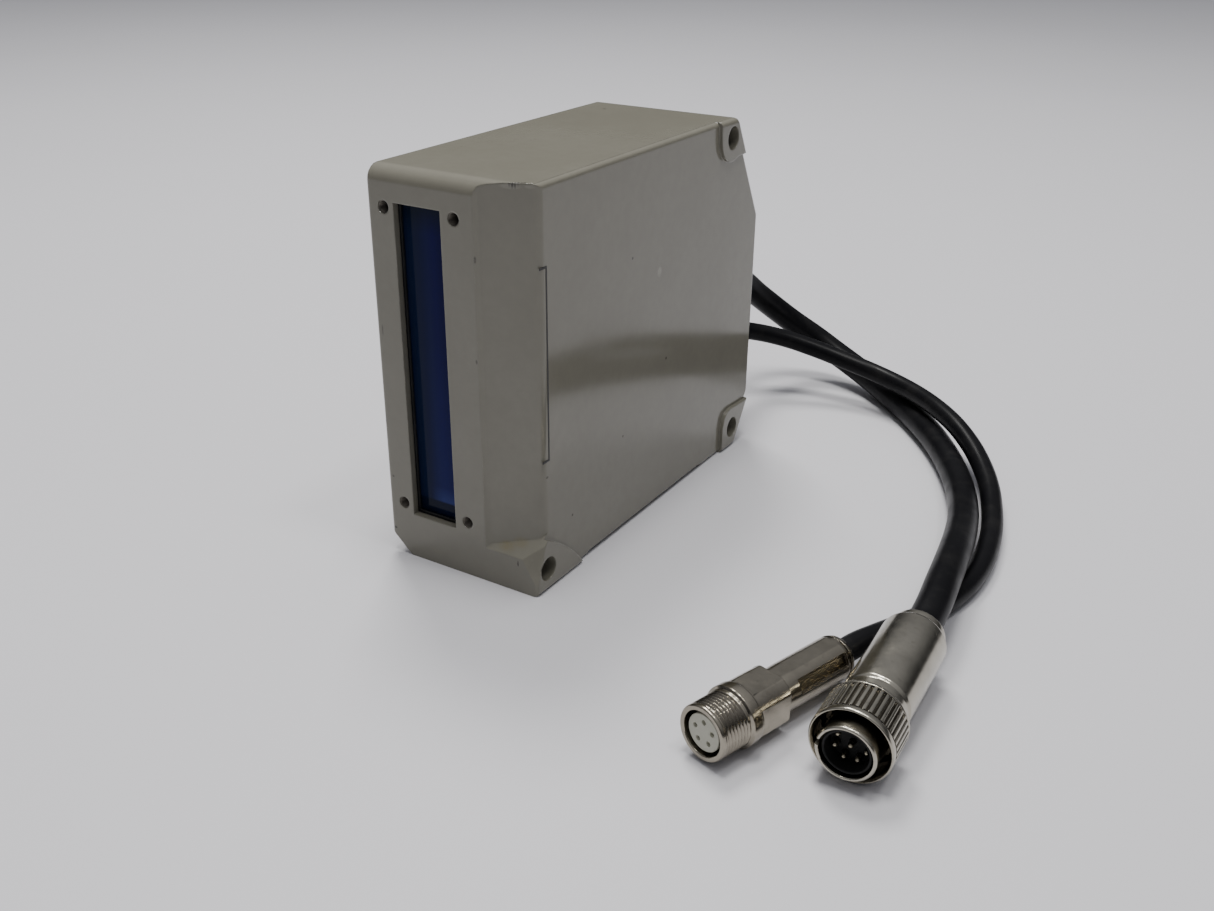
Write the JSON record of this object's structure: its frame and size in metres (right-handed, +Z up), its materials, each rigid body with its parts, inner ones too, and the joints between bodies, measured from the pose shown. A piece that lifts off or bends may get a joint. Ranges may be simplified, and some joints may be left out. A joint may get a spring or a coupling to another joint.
{
  "type": "optical scanning sensor head",
  "caption": "Boxy die-cast scanner head with a tall dark filter window, cross bores for mounting, and two rear cables ending in round multi-pin connectors.",
  "frame": {"origin": "centre of the head's bounding box on the surface that its foot pads stand on", "axes": "+Z up; -Y is the way the filter window looks; the cables leave on +Y; the mounting bosses and the side panel face +X, the screwed cover faces -X"},
  "size_m": [0.1204, 0.1753, 0.084],
  "materials": {
    "paint": "satin beige-grey baked paint on die-cast metal",
    "filter": "polished dark blue filter glass",
    "rubber": "matt black moulded rubber",
    "lens_glass": "polished optical glass",
    "anodised": "matt black anodised",
    "steel": "zinc-plated",
    "circuit": "green solder mask",
    "chip": "black moulded plastic",
    "trimmer": "blue moulded plastic",
    "white_plastic": "off-white moulded plastic",
    "cord": "satin black cable jacket",
    "nickel": "bright nickel plate on brass",
    "gold": "gold-flashed contacts"
  },
  "bodies": {
    "head": {"main_housing": "paint", "side_cover": "paint", "window_glass": "filter", "window_gasket": "rubber", "cover_gasket": "rubber", "signal_gland": "rubber", "sync_gland": "rubber", "receiver_lens": "lens_glass", "window_retainer": "anodised", "lens_holder": "anodised", "slit_hood": "anodised", "cover_screw_1": "steel", "cover_screw_2": "steel", "cover_screw_3": "steel", "cover_screw_4": "steel", "lens_screw_1": "steel", "lens_screw_2": "steel", "bracket_screw_1": "steel", "bracket_screw_2": "steel", "board_screw_1": "steel", "board_screw_2": "steel", "board_screw_3": "steel", "board_screw_4": "steel", "sensor_bracket": "steel", "photodiode": "steel", "sensor_board": "circuit", "main_board": "circuit", "amplifier_chip": "chip", "comparator_chip": "chip", "logic_chip": "chip", "plug_insert": "chip", "gain_trimmer": "trimmer", "signal_header": "white_plastic", "sync_header": "white_plastic", "jack_insert": "white_plastic", "signal_cable": "cord", "sync_cable": "cord", "signal_loom": "cord", "sync_loom": "cord", "sensor_loom": "cord", "plug_shell": "nickel", "plug_backshell": "nickel", "plug_clamp": "nickel", "jack_shell": "nickel", "jack_sleeve": "nickel", "plug_pin_1": "gold", "plug_pin_2": "gold", "plug_pin_3": "gold", "plug_pin_4": "gold", "plug_pin_5": "gold", "plug_pin_6": "gold", "jack_contact_1": "gold", "jack_contact_2": "gold", "jack_contact_3": "gold", "jack_contact_4": "gold", "jack_contact_5": "gold"},
    "nut": {"coupling_nut": "nickel"}
  },
  "joints": [
    {"name": "nut_turn", "type": "hinge", "parent": "head", "child": "nut", "pos_m": [0.09383, -0.06785, 0.00736], "axis": [-0.034, 0.9991, 0.0244], "continuous": true}
  ]
}
